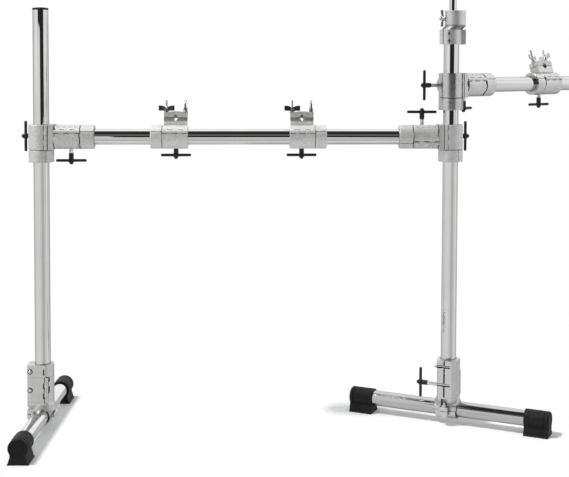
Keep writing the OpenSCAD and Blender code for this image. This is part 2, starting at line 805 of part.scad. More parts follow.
module wing_nut(side, turn) {
    in_jaw_plane() translate([side * jaw_bolt_span / 2, 0, nut_seat + face_gap]) rotate([0, 0, turn])
        difference() {
            union() {
                cylinder(r = nut_flange_r, h = nut_flange_h);
                cylinder(r1 = nut_flange_r - 0.8, r2 = jaw_bolt_r + 1.8, h = wing_hub);
                wings(wing_reach, wing_nut_span);
            }
            translate([0, 0, -past]) cylinder(r = jaw_bolt_r + turn_gap, h = 2 * wing_hub);
        }
}

// Reducer, drawn about the right column axis at its own height
module reducer_shell() {
    translate([0, 0, reducer_bottom]) {
        cylinder(r = reducer_r, h = reducer_grip);
        translate([0, -reducer_lug[1] / 2, 0]) cube([reducer_lug[0], reducer_lug[1], reducer_grip]);
        rotate([0, 0, reducer_ears_turn]) translate([-reducer_ear_x, 0, 0])
            cube([2 * reducer_ear_x, lock_ear_y, reducer_grip]);
    }
    hull() {
        translate([0, 0, right_column_top]) cylinder(r = reducer_r, h = 0.1, $fn = 32);
        translate([reducer_shift, 0, reducer_head_h]) cylinder(r = reducer_head_r, h = 0.1, $fn = 32);
    }
    translate([reducer_shift, 0, reducer_head_h]) cylinder(r = reducer_head_r, h = reducer_head);
}

module reducer_casting() {
    difference() {
        reducer_shell();
        translate([0, 0, reducer_bottom - past]) cylinder(r = bore_r, h = reducer_grip + past);
        translate([slim_shift, 0, reducer_bottom]) cylinder(r = slim_r + slide_gap, h = 3 * reducer_head);
        rotate([0, 0, reducer_ears_turn]) translate([0, 0, reducer_bottom]) {
            translate([-slit / 2, 0, -past]) cube([slit, swing_room, reducer_grip + past]);
            for (z = reducer_screws) key_hole(reducer_ear_x, z);
        }
        translate([0, 0, wing_screw_h]) rod_x(wing_screw_r + turn_gap, -swing_room, 0);
    }
}

module reducer_screw_pair() {
    rotate([0, 0, reducer_ears_turn]) translate([0, 0, reducer_bottom])
        for (z = reducer_screws) key_screw(reducer_ear_x, z);
}

module wing_screw() {
    tip = slim_shift - slim_r - face_gap;
    face = reducer_shift - reducer_head_r;
    translate([0, 0, wing_screw_h]) rotate([0, -90, 0]) {
        translate([0, 0, -tip]) cylinder(r = wing_screw_r, h = tip - face + hub_floor);
        translate([0, 0, face_gap - face]) {
            cylinder(r1 = hub_r, r2 = hub_r - 1, h = wing_hub);
            wings(wing_screw_reach, wing_screw_span);
        }
    }
}

module left_base_tube() { color(chrome) at_left_leg() base_tube(); }
module left_base_feet() { color(rubber) at_left_leg() base_feet(); }
module left_leg_clamp() { color(casting) at_left_leg() leg_clamp(); }
module left_leg_gates() { color(casting) at_left_leg() leg_gates(); }
module left_leg_bolts() { color(chrome) at_left_leg() leg_bolts(); }
module left_leg_handle() { color(plastic) at_left_leg() leg_handle(); }
module left_leg_lock() { color(casting) at_left_leg() leg_lock(); }
module right_base_tube() { color(chrome) at_right_leg() base_tube(); }
module right_base_feet() { color(rubber) at_right_leg() base_feet(); }
module right_leg_clamp() { color(casting) at_right_leg() leg_clamp(); }
module right_leg_gates() { color(casting) at_right_leg() leg_gates(); }
module right_leg_bolts() { color(chrome) at_right_leg() leg_bolts(); }
module right_leg_handle() { color(plastic) at_right_leg() leg_handle(); }
module right_leg_lock() { color(casting) at_right_leg() leg_lock(); }

// End cap on the left column, with its plug in the tube
module end_cap() {
    translate([0, 0, -cap_plug]) cylinder(r = tube_r - tube_wall - seat_fit, h = cap_plug + past);
    cylinder(r1 = tube_r, r2 = tube_r - 1, h = cap_h);
}

module left_column() {
    color(chrome) at_left_column() {
        translate([0, 0, column_foot]) tube(tube_r, tube_wall, left_column_len);
        translate([0, 0, column_foot + left_column_len + seat_fit]) end_cap();
    }
}
module right_column() {
    color(chrome) at_right_column() translate([0, 0, column_foot])
        tube(tube_r, tube_wall, right_column_len);
}
module crossbar() {
    color(chrome) at_left_tee() translate([bar_start, 0, 0]) rotate([0, 90, 0])
        tube(tube_r, tube_wall, column_gap - 2 * bar_start);
}
module side_arm() {
    color(chrome) at_side_tee() translate([bar_start, 0, 0]) rotate([0, 90, 0])
        tube(tube_r, tube_wall, side_len);
}
module slim_tube() {
    color(chrome) at_right_column() translate([slim_shift, 0, slim_bottom])
        tube(slim_r, slim_wall, slim_len);
}
module reducer() {
    color(casting) at_right_column() {
        reducer_casting();
        reducer_screw_pair();
    }
}
module reducer_wing_screw() { color(chrome) at_right_column() wing_screw(); }

module left_tee() { color(casting) at_left_tee() tee_body(); }
module right_tee() { color(casting) at_right_tee() tee_body(); }
module side_tee() { color(casting) at_side_tee() tee_body(); }
module tee_gates() {
    color(casting) {
        at_left_tee() tee_gate_pair();
        at_right_tee() tee_gate_pair();
    }
}
module tee_locks() {
    color(casting) {
        at_left_tee() tee_bar_lock();
        at_left_tee() tee_column_lock();
        at_right_tee() tee_bar_lock();
        at_right_tee() rotate([0, 180, 0]) tee_column_lock();
    }
}
module tee_bolts() {
    color(chrome) {
        at_left_tee() tee_bolt_pair(tee_column_reach);
        at_right_tee() tee_bolt_pair(tee_column_reach);
    }
}
module side_tee_gates() {
    color(casting) at_side_tee() {
        tee_gate_pair();
        tee_bar_lock();
    }
}
module side_tee_bolts() { color(chrome) at_side_tee() tee_bolt_pair(side_column_reach); }
module side_height_lock() { color(casting) at_side_tee() tee_column_lock(); }

module left_tee_column_handle() { color(plastic) at_left_tee() t_handle(tee_column_reach); }
module left_tee_bar_handle() { color(plastic) at_left_tee() tee_bar_handle(); }
module right_tee_column_handle() { color(plastic) at_right_tee() t_handle(tee_column_reach); }
module right_tee_bar_handle() { color(plastic) at_right_tee() tee_bar_handle(); }
module side_tee_column_handle() { color(plastic) at_side_tee() t_handle(side_column_reach); }
module side_tee_bar_handle() { color(plastic) at_side_tee() tee_bar_handle(15); }

module left_mount_lock() { color(casting) at_left_mount() mount_lock(-1); }
module left_mount_saddle() { color(casting) at_left_mount() mount_saddle(); }
module left_mount_gate() { color(casting) at_left_mount() mount_gate(); }
module left_mount_jaw() { color(casting) at_left_mount() mount_jaw(); }
module left_mount_bolts() { color(chrome) at_left_mount() mount_bolts(mount_reach); }
module left_mount_handle() { color(plastic) at_left_mount() mount_handle(mount_reach); }
module left_mount_wing_nut_1() { color(chrome) at_left_mount() wing_nut(-1, 0); }
module left_mount_wing_nut_2() { color(chrome) at_left_mount() wing_nut(1, 90); }

module centre_mount_lock() { color(casting) at_centre_mount() mount_lock(1); }
module centre_mount_saddle() { color(casting) at_centre_mount() mount_saddle(); }
module centre_mount_gate() { color(casting) at_centre_mount() mount_gate(); }
module centre_mount_jaw() { color(casting) at_centre_mount() mount_jaw(); }
module centre_mount_bolts() { color(chrome) at_centre_mount() mount_bolts(mount_reach); }
module centre_mount_handle() { color(plastic) at_centre_mount() mount_handle(mount_reach); }
module centre_mount_wing_nut_1() { color(chrome) at_centre_mount() wing_nut(-1, 0); }
module centre_mount_wing_nut_2() { color(chrome) at_centre_mount() wing_nut(1, 90); }

module side_mount_lock() { color(casting) at_side_mount() mount_lock(-1); }
module side_mount_saddle() { color(casting) at_side_mount() mount_saddle(); }
module side_mount_gate() { color(casting) at_side_mount() mount_gate(); }
module side_mount_jaw() { color(casting) at_side_mount() mount_jaw(); }
module side_mount_bolts() { color(chrome) at_side_mount() mount_bolts(side_mount_reach); }
module side_mount_handle() { color(plastic) at_side_mount() mount_handle(side_mount_reach); }
module side_mount_wing_nut_1() { color(chrome) at_side_mount() wing_nut(-1, 20); }
module side_mount_wing_nut_2() { color(chrome) at_side_mount() wing_nut(1, 90); }

left_base_tube();
left_base_feet();
left_leg_clamp();
left_leg_gates();
left_leg_bolts();
left_leg_handle();
left_column();
left_leg_lock();
left_tee();
right_tee();
tee_gates();
tee_locks();
tee_bolts();
crossbar();
left_tee_column_handle();
left_tee_bar_handle();
right_tee_column_handle();
right_tee_bar_handle();
right_column();
right_leg_lock();
reducer();
reducer_wing_screw();
slim_tube();
right_base_tube();
right_base_feet();
right_leg_clamp();
right_leg_gates();
right_leg_bolts();
right_leg_handle();
side_height_lock();
side_tee();
side_tee_gates();
side_tee_bolts();
side_arm();
side_tee_column_handle();
side_tee_bar_handle();
left_mount_lock();
left_mount_saddle();
left_mount_gate();
left_mount_jaw();
left_mount_bolts();
left_mount_handle();
left_mount_wing_nut_1();
left_mount_wing_nut_2();
centre_mount_lock();
centre_mount_saddle();
centre_mount_gate();
centre_mount_jaw();
centre_mount_bolts();
centre_mount_handle();
centre_mount_wing_nut_1();
centre_mount_wing_nut_2();
side_mount_lock();
side_mount_saddle();
side_mount_gate();
side_mount_jaw();
side_mount_bolts();
side_mount_handle();
side_mount_wing_nut_1();
side_mount_wing_nut_2();
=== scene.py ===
"""Looks of a drum rack frame: its materials, its fine trim, the studio and the camera."""
import math

import bpy
from mathutils import Matrix, Vector


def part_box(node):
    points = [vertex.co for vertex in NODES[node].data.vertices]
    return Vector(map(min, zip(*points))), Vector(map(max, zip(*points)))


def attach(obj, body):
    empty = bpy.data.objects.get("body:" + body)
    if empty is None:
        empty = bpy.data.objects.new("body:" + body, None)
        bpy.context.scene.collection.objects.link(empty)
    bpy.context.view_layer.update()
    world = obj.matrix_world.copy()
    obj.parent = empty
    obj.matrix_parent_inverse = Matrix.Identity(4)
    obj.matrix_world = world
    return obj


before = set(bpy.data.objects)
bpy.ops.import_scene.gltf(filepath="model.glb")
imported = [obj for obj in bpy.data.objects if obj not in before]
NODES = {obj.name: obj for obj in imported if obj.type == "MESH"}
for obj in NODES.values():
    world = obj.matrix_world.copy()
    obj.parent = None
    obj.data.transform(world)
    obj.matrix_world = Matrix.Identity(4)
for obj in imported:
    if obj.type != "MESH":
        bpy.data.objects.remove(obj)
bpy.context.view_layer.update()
MM = 0.001


def centre(node):
    low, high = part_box(node)
    return (low + high) / 2


# Places of the rack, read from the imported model
LEFT = centre("left_column").to_2d()
RIGHT = centre("right_column").to_2d()
BAR_Z = centre("crossbar").z
SIDE_Z = centre("side_arm").z
BASE_H = centre("left_base_tube").z
COLUMN_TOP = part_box("left_column")[1].z

# Turns of the side arm and of the two bases about their columns
SIDE_TURN = math.radians(32)
LEFT_BASE_TURN = math.radians(-93)
RIGHT_BASE_TURN = math.radians(-27.5)

# Lean of the mount clamps' jaw bolts from upright, away from the camera
BOLT_LEAN = math.radians(20)

# Bar clamp of a tee: outer radius, start from the column's axis, and length along the bar
TEE_BAR_R = 29.45 * MM
TEE_BAR_START = 32.11 * MM
TEE_BAR_LEN = 63 * MM

# Leg clamp: its flat faces and its bolts from the column's axis, and heights above the floor
LEG_FACE = 27 * MM
LEG_SLIT_FACE = 34.05 * MM
LEG_BOLT_Y = 25.5 * MM
LEG_SEAM = BASE_H + 95.8 * MM
LEG_LOCK_BOLT = BASE_H + 110.55 * MM
LEG_CLAMP_BOLT = BASE_H + 65 * MM

# The two bases, the length of each with its feet, and the end of the saddle from the column's axis
BASES = (("left", LEFT_BASE_TURN, LEFT), ("right", RIGHT_BASE_TURN, RIGHT))
BASE_LEN = 514 * MM
SADDLE_END = 28 * MM

# Ears of the strap under a base tube: side face and middle from the column's axis, and width
EAR_FACE = 10 * MM
EAR_Y = 31 * MM
EAR_WIDTH = 11 * MM

# Flat slots and seam lines: how far they stand out and reach in, in millimetres
SLOT_CHAMFER = 0.6
SLOT_RISE = 0.2
SLOT_DEPTH = 0.4
SEAM_RISE = 0.15
SEAM_DEPTH = 0.4
# Degrees around the clamp between two points of a seam line
SEAM_STEP = 6

# Camera: lens and optical centre in pixels of the picture, and its place from the left column's foot
WIDTH = 569
HEIGHT = 477
CAM_F = 1161.2
CAM_CX = 315.0
CAM_CY = 108.8
CAM_PITCH = math.radians(2.86)
CAM_YAW = math.radians(3.468)
CAM_ROLL = math.radians(-0.243)
CAM_PLACE = Vector((0.4917, -2.8400, 0.9274))
SENSOR = 36

# Floor shadows: how wide they are kept from each base's middle line, and over how much they then fade
LEFT_SHADOW = (31 * MM, 13 * MM)
RIGHT_SHADOW = (52 * MM, 30 * MM)
FLOOR_REACH = 2.4
FLOOR_DROP = 0.2 * MM

WHITE = (1, 1, 1, 1)

# Stretch over which a casting's heights painted darker, as shade, begin and end
SHADED_HEIGHTS_EDGE = 4 * MM

# Quarter turn that lays a lathed piece's axis along X
Z_TO_X = Matrix.Rotation(math.pi / 2, 4, "Y")


def add_object(name, data):
    obj = bpy.data.objects.new(name, data)
    bpy.context.scene.collection.objects.link(obj)
    return obj


def add_mesh(name, shape, material, smooth=False):
    """A mesh object of one material from a shape, which is its vertices and its faces."""
    vertices, faces = shape
    mesh = bpy.data.meshes.new(name)
    mesh.from_pydata([tuple(v) for v in vertices], [], faces)
    mesh.materials.append(material)
    for polygon in mesh.polygons:
        polygon.use_smooth = smooth
    return add_object(name, mesh)


def make_camera():
    flat = math.cos(CAM_PITCH)
    forward = Vector((math.sin(CAM_YAW) * flat, math.cos(CAM_YAW) * flat, -math.sin(CAM_PITCH)))
    right = Vector((math.cos(CAM_YAW), -math.sin(CAM_YAW), 0))
    down = forward.cross(right)
    c, s = math.cos(CAM_ROLL), math.sin(CAM_ROLL)
    right, down = c * right + s * down, -s * right + c * down
    data = bpy.data.cameras.new("camera")
    data.sensor_fit = "HORIZONTAL"
    data.sensor_width = SENSOR
    data.lens = CAM_F / WIDTH * SENSOR
    data.shift_x = (WIDTH / 2 - CAM_CX) / WIDTH
    data.shift_y = (CAM_CY - HEIGHT / 2) / WIDTH
    data.clip_start = 0.05
    data.clip_end = 60
    camera = add_object("camera", data)
    place = CAM_PLACE + Vector((LEFT.x, LEFT.y, 0))
    axes = Matrix((right, -down, -forward)).transposed().to_4x4()
    camera.matrix_world = Matrix.Translation(place) @ axes
    bpy.context.scene.camera = camera


# Shader nodes

# Numbers of the mix node's sockets when it mixes colours
MIX_FACTOR = 0
MIX_COLOUR_A = 6
MIX_COLOUR_B = 7
MIX_RESULT = 2


def link(tree, out, into):
    tree.links.new(out, into)


def add_node(tree, kind, **values):
    """A new node; each value goes into the input of its name, or else into the node's own setting."""
    made = tree.nodes.new(kind)
    for name, value in values.items():
        if name in made.inputs:
            made.inputs[name].default_value = value
        else:
            setattr(made, name, value)
    return made


def math_node(tree, operation, *values, clamp=False):
    """Arithmetic on sockets and plain numbers."""
    made = add_node(tree, "ShaderNodeMath", operation=operation, use_clamp=clamp)
    for value, socket in zip(values, made.inputs):
        if isinstance(value, (int, float)):
            socket.default_value = value
        else:
            link(tree, value, socket)
    return made.outputs[0]


def rise(tree, value, start, over):
    """Goes from 0 at start to 1 after the stretch called over."""
    return math_node(tree, "DIVIDE", math_node(tree, "SUBTRACT", value, start), over, clamp=True)


def band(tree, value, low, high, soft):
    """1 between low and high, with an edge as wide as soft inside each of them."""
    fall = math_node(tree, "DIVIDE", math_node(tree, "SUBTRACT", high, value), soft, clamp=True)
    return math_node(tree, "MULTIPLY", rise(tree, value, low, soft), fall)


def grey(value, tint=0.0):
    return (value, value * (1 + tint * 0.3), value * (1 + tint))


def ramp(tree, factor, stops):
    """Colour that goes through (place, colour) stops."""
    made = tree.nodes.new("ShaderNodeValToRGB")
    elements = made.color_ramp.elements
    while len(elements) < len(stops):
        elements.new(0.5)
    for element, (place, colour) in zip(elements, stops):
        element.position = place
        element.color = (*colour, 1)
    link(tree, factor, made.inputs["Fac"])
    return made.outputs["Color"]


def multiplied(tree, first, second):
    """Product of two colours."""
    made = add_node(tree, "ShaderNodeMix", data_type="RGBA", blend_type="MULTIPLY")
    made.inputs[MIX_FACTOR].default_value = 1.0
    link(tree, first, made.inputs[MIX_COLOUR_A])
    link(tree, second, made.inputs[MIX_COLOUR_B])
    return made.outputs[MIX_RESULT]


def mix_shaders(tree, factor, first, second):
    made = tree.nodes.new("ShaderNodeMixShader")
    for source, socket in zip((factor, first, second), made.inputs):
        link(tree, source, socket)
    return made.outputs[0]


def position(tree, kind="Object"):
    """X, Y and Z of a place or a direction."""
    source = tree.nodes.new("ShaderNodeTexCoord")
    parts = tree.nodes.new("ShaderNodeSeparateXYZ")
    link(tree, source.outputs[kind], parts.inputs[0])
    return parts.outputs


def coordinates(tree, turn=0.0, upright=False, scale=(1, 1, 1)):
    """Object coordinates, turned so that X runs along the piece."""
    source = tree.nodes.new("ShaderNodeTexCoord")
    rotation = (0, math.pi / 2, 0) if upright else (0, 0, -turn)
    mapping = add_node(tree, "ShaderNodeMapping", vector_type="POINT", Rotation=rotation, Scale=scale)
    link(tree, source.outputs["Object"], mapping.inputs["Vector"])
    return mapping.outputs[0]


def noise(tree, vector, scale, detail=4.0, rough=0.5):
    made = add_node(tree, "ShaderNodeTexNoise", Scale=scale, Detail=detail, Roughness=rough)
    link(tree, vector, made.inputs["Vector"])
    return made.outputs["Fac"]


# Materials

def blank_material(name):
    """An empty material, its nodes and the socket for its surface."""
    material = bpy.data.materials.new(name)
    material.use_nodes = True
    tree = material.node_tree
    tree.nodes.clear()
    out = tree.nodes.new("ShaderNodeOutputMaterial")
    return material, tree, out.inputs["Surface"]


def start_material(name, **values):
    """A material with one main shader, whose inputs take the given values."""
    material, tree, surface = blank_material(name)
    shader = add_node(tree, "ShaderNodeBsdfPrincipled", **values)
    link(tree, shader.outputs[0], surface)
    return material, tree, shader


def roughen(tree, shader, pattern, spread, least):
    """Roughness that rises from least by as much as spread with the pattern."""
    link(tree, math_node(tree, "MULTIPLY_ADD", pattern, spread, least), shader.inputs["Roughness"])


def emboss(tree, shader, height, strength, distance, edge=None):
    """Fine relief on the shader, and edges rounded off by the radius called edge."""
    made = add_node(tree, "ShaderNodeBump", Strength=strength, Distance=distance)
    link(tree, height, made.inputs["Height"])
    if edge:
        bevel = add_node(tree, "ShaderNodeBevel", Radius=edge, samples=4)
        link(tree, bevel.outputs[0], made.inputs["Normal"])
    link(tree, made.outputs[0], shader.inputs["Normal"])


def chrome(name, turn=0.0, upright=False, edge=0.62, tone=1.0):
    """Polished chrome plate with faint draw lines along the tube and light handling haze."""
    material, tree, shader = start_material(name, Metallic=1.0)
    # edge tints the grazing reflections; the base tubes get it brighter than the rest, as painted highlight
    shader.inputs["Specular Tint"].default_value = (edge, edge, edge, 1)
    lines = noise(tree, coordinates(tree, turn, upright, (6, 900, 900)), scale=1.0, detail=3.0)
    haze = noise(tree, coordinates(tree, turn, upright), scale=14.0, detail=5.0, rough=0.6)
    # tone below 1 dims the colour of a tube: painted shade
    colour = ramp(tree, haze, [(0.3, grey(0.575 * tone, -0.01)), (0.75, grey(0.625 * tone, -0.01))])
    link(tree, colour, shader.inputs["Base Color"])
    roughen(tree, shader, haze, spread=0.05, least=0.012)
    emboss(tree, shader, lines, strength=0.05, distance=0.2 * MM)
    return material


def casting(name, low, high, least_rough, relief=0.35, shaded_heights=None):
    """Tumbled satin die casting: sandy grain, soft edges, painted shade in the hollows and brighter rubbed
    areas.

    The last argument, when given, holds the heights between which the colour is painted darker, as shade,
    and its share of the colour there."""
    material, tree, shader = start_material(name, Metallic=1.0)
    shader.inputs["Specular Tint"].default_value = (0.75, 0.75, 0.77, 1)
    place = coordinates(tree)
    grain = noise(tree, place, scale=900.0, detail=3.0, rough=0.65)
    sand = noise(tree, place, scale=330.0, detail=2.0, rough=0.6)
    patches = noise(tree, place, scale=38.0, detail=3.0, rough=0.5)
    mixed = math_node(tree, "MULTIPLY_ADD", sand, 0.7, math_node(tree, "MULTIPLY", patches, 0.3))
    colour = ramp(tree, mixed, [(0.38, grey(low, -0.01)), (0.62, grey(high, -0.01))])
    # Colour darkened where ambient occlusion finds hollows and gaps: painted shade
    hollow = add_node(tree, "ShaderNodeAmbientOcclusion", Distance=4 * MM, samples=6)
    shade = ramp(tree, hollow.outputs["AO"], [(0.38, grey(0.04)), (0.86, grey(1.0))])
    colour = multiplied(tree, colour, shade)
    # Colour painted darker between two heights: painted shade
    if shaded_heights:
        bottom, top, share = shaded_heights
        height = position(tree)[2]
        inside = band(tree, height, bottom, top, SHADED_HEIGHTS_EDGE)
        colour = multiplied(tree, colour, ramp(tree, inside, [(0.0, grey(1.0)), (1.0, grey(share))]))
    link(tree, colour, shader.inputs["Base Color"])
    roughen(tree, shader, patches, spread=0.16, least=least_rough)
    grit = math_node(tree, "MULTIPLY_ADD", grain, 0.5, sand)
    emboss(tree, shader, grit, strength=relief, distance=0.5 * MM, edge=0.9 * MM)
    return material


def hardware(name, axis, low=0.52, high=0.68):
    """Chrome plated screws: rings about the axis, which stand for the thread, and bright rubbed faces."""
    pitch = 1.2 * MM
    material, tree, shader = start_material(name, Metallic=1.0)
    source = tree.nodes.new("ShaderNodeTexCoord")
    along = tree.nodes.new("ShaderNodeVectorMath")
    along.operation = "DOT_PRODUCT"
    along.inputs[1].default_value = axis
    link(tree, source.outputs["Object"], along.inputs[0])
    phase = math_node(tree, "MULTIPLY", along.outputs["Value"], 2 * math.pi / pitch)
    turns = math_node(tree, "SINE", phase)
    haze = noise(tree, coordinates(tree), scale=60.0, detail=4.0)
    colour = ramp(tree, haze, [(0.3, grey(low, -0.01)), (0.7, grey(high, -0.01))])
    link(tree, colour, shader.inputs["Base Color"])
    roughen(tree, shader, haze, spread=0.12, least=0.08)
    emboss(tree, shader, turns, strength=0.4, distance=0.3 * MM, edge=0.5 * MM)
    return material


def plastic(name):
    """Black moulded plastic with a fine spark-eroded grain and paler rubbed spots."""
    material, tree, shader = start_material(name)
    shader.inputs["Specular IOR Level"].default_value = 0.25
    place = coordinates(tree)
    grain = noise(tree, place, scale=1400.0, detail=2.0, rough=0.6)
    wear = noise(tree, place, scale=70.0, detail=5.0, rough=0.6)
    colour = ramp(tree, wear, [(0.35, grey(0.006)), (0.75, grey(0.018, 0.05))])
    link(tree, colour, shader.inputs["Base Color"])
    roughen(tree, shader, wear, spread=0.25, least=0.30)
    emboss(tree, shader, grain, strength=0.25, distance=0.3 * MM, edge=0.6 * MM)
    return material


def rubber(name, low=0.005, high=0.014):
    """Moulded rubber: dusty bloom in patches and a fine grain."""
    material, tree, shader = start_material(name)
    shader.inputs["Specular IOR Level"].default_value = 0.18
    place = coordinates(tree)
    grain = noise(tree, place, scale=1100.0, detail=3.0, rough=0.6)
    bloom = noise(tree, place, scale=45.0, detail=6.0, rough=0.6)
    colour = ramp(tree, bloom, [(0.35, grey(low)), (0.7, grey(high, 0.03))])
    link(tree, colour, shader.inputs["Base Color"])
    roughen(tree, shader, bloom, spread=0.3, least=0.45)
    emboss(tree, shader, grain, strength=0.3, distance=0.4 * MM, edge=1.2 * MM)
    return material


def tube_looks():
    """Chrome of each tube, with its draw lines along the tube."""
    tubes = {
        "left_column": dict(upright=True),
        "right_column": dict(upright=True),
        "slim_tube": dict(upright=True),
        "crossbar": dict(),
        # The side arm and the right base tube are dimmed, as painted shade; the base tubes get brighter
        # edge tints, as painted highlight
        "side_arm": dict(turn=SIDE_TURN, tone=0.92),
        "left_base_tube": dict(turn=LEFT_BASE_TURN, edge=0.95),
        "right_base_tube": dict(turn=RIGHT_BASE_TURN, edge=0.7, tone=0.7),
    }
    return [(name, chrome("chrome_" + name, **how)) for name, how in tubes.items()]


def screw_looks():
    """Screws with their threads along the mount clamps' leaning bolts, or level along the crossbar."""
    out, up = math.sin(BOLT_LEAN), math.cos(BOLT_LEAN)
    mount_axis = (0, out, up)
    side_axis = (-math.sin(SIDE_TURN) * out, math.cos(SIDE_TURN) * out, up)
    screws = hardware("chrome_hardware", mount_axis)
    side_screws = hardware("chrome_side_hardware", side_axis)
    level_screws = hardware("chrome_level_hardware", (1, 0, 0))
    return [
        ("side_mount_wing_nut", side_screws),
        ("wing_nut", hardware("chrome_wing_nuts", mount_axis, 0.12, 0.24)),
        ("side_mount_bolts", side_screws),
        ("mount_bolts", screws),
        ("bolts", level_screws),
        ("wing_screw", level_screws),
    ]


def casting_looks():
    """Castings, three of them with a stretch of heights painted darker, as shade."""
    low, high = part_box("reducer")
    tall = high.z - low.z
    # Heights painted darker, as shade: the reducer's shoulder, the top of the mount clamps and the leg
    # clamps' saddles
    shoulder = (low.z + 0.41 * tall, low.z + 0.60 * tall, 0.45)
    clamp_top = (BAR_Z + 36 * MM, BAR_Z + 90 * MM, 0.42)
    saddle = (BASE_H + 12 * MM, BASE_H + 30 * MM, 0.80)
    return [
        ("_jaw", casting("cast_jaw", 0.48, 0.66, 0.52)),
        ("_leg_", casting("cast_leg", 0.54, 0.59, 0.40, 0.10, saddle)),
        ("reducer", casting("cast_reducer", 0.54, 0.68, 0.42, shaded_heights=shoulder)),
        ("right_tee", casting("cast_satin", 0.57, 0.70, 0.42)),
        ("side_", casting("cast_bright_clamp", 0.43, 0.56, 0.14)),
        ("_mount_", casting("cast_mount", 0.63, 0.80, 0.56, shaded_heights=clamp_top)),
        ("tee", casting("cast_clamp", 0.56, 0.72, 0.56)),
    ]


def dress_nodes():
    """Gives each node the look that stands first of those whose words are in the node's name."""
    looks = tube_looks()
    looks += [("_handle", plastic("handle_plastic")), ("_feet", rubber("foot_rubber"))]
    looks += screw_looks() + casting_looks()
    for name, obj in NODES.items():
        material = next(look for words, look in looks if words in name)
        obj.data.materials.clear()
        obj.data.materials.append(material)


# Fine trim

def add_piece(name, shape, material, body, smooth=True):
    obj = add_mesh(name, shape, material, smooth)
    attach(obj, body)


def merged(shapes):
    """One shape out of several."""
    vertices, faces = [], []
    for some, others in shapes:
        start = len(vertices)
        vertices += some
        faces += [tuple(start + i for i in face) for face in others]
    return vertices, faces


def lathe(profile, axes, count=64):
    """Turns (radius, height) points in millimetres about the Z axis of axes.

    A profile that starts off the axis is a ring, and its last point meets its first."""
    vertices, faces, rows = [], [], []
    for r, h in profile:
        turns = count if r > 0 else 1
        rows.append([len(vertices) + i % turns for i in range(count)])
        for i in range(turns):
            a = 2 * math.pi * i / count
            vertices.append(axes @ Vector((r * math.cos(a) * MM, r * math.sin(a) * MM, h * MM)))
    if profile[0][0] > 0:
        rows.append(rows[0])
    for low, high in zip(rows, rows[1:]):
        for i in range(count):
            corners = (low[i], low[(i + 1) % count], high[(i + 1) % count], high[i])
            faces.append(tuple(dict.fromkeys(corners)))
    return vertices, faces


def slot(axes, face, y, low, high, wide, deep=SLOT_DEPTH):
    """A flat dark slot with chamfered corners on the face at X, about Y, from one height to another."""
    c = SLOT_CHAMFER * MM
    half = wide / 2
    rim = [(-half + c, low), (half - c, low), (half, low + c), (half, high - c), (half - c, high),
           (-half + c, high), (-half, high - c), (-half, low + c)]
    vertices = [axes @ Vector((face + d, y + u, v)) for d in (-deep * MM, SLOT_RISE * MM) for u, v in rim]
    count = len(rim)
    faces = [tuple(range(count)), tuple(range(2 * count - 1, count - 1, -1))]
    faces += [(i, count + i, count + (i + 1) % count, (i + 1) % count) for i in range(count)]
    return vertices, faces


def bar_surface(origin, turn, sign):
    """Places a point on a tee's bar clamp from its millimetres along the bar, radians up from the front
    and height over the surface in millimetres."""
    axes = Matrix.Translation(origin) @ Matrix.Rotation(turn, 4, "Z")

    def place(along, angle, height):
        r = TEE_BAR_R + height * MM
        return axes @ Vector((sign * along * MM, -r * math.cos(angle), r * math.sin(angle)))
    return place


def seam_line(outline, along, width, place):
    """A raised line on a clamp, through points in millimetres from along and in degrees around."""
    radius = TEE_BAR_R / MM
    points = [(along + u, a) for u, a in outline]
    fine = [points[0]]
    for (u0, a0), (u1, a1) in zip(points, points[1:]):
        count = max(1, int(abs(a1 - a0) / SEAM_STEP))
        fine += [(u0 + (u1 - u0) * k / count, a0 + (a1 - a0) * k / count) for k in range(1, count + 1)]
    flat = [Vector((u, math.radians(a) * radius)) for u, a in fine]
    vertices, faces = [], []
    for i, here in enumerate(flat):
        before = (here - flat[i - 1]).normalized() if i > 0 else None
        after = (flat[i + 1] - here).normalized() if i + 1 < len(flat) else None
        way = ((before or after) + (after or before)).normalized()
        side = Vector((-way.y, way.x)) * width / 2 / max(0.5, way.dot(after or before))
        for height, sign in ((-SEAM_DEPTH, -1), (SEAM_RISE, -1), (SEAM_RISE, 1), (-SEAM_DEPTH, 1)):
            spot = here + sign * side
            vertices.append(place(spot.x, spot.y / radius, height))
    for i in range(len(flat) - 1):
        for k in range(4):
            m = (k + 1) % 4
            faces.append((4 * i + k, 4 * i + m, 4 * i + 4 + m, 4 * i + 4 + k))
    last = 4 * (len(flat) - 1)
    faces += [(3, 2, 1, 0), (last, last + 1, last + 2, last + 3)]
    return vertices, faces


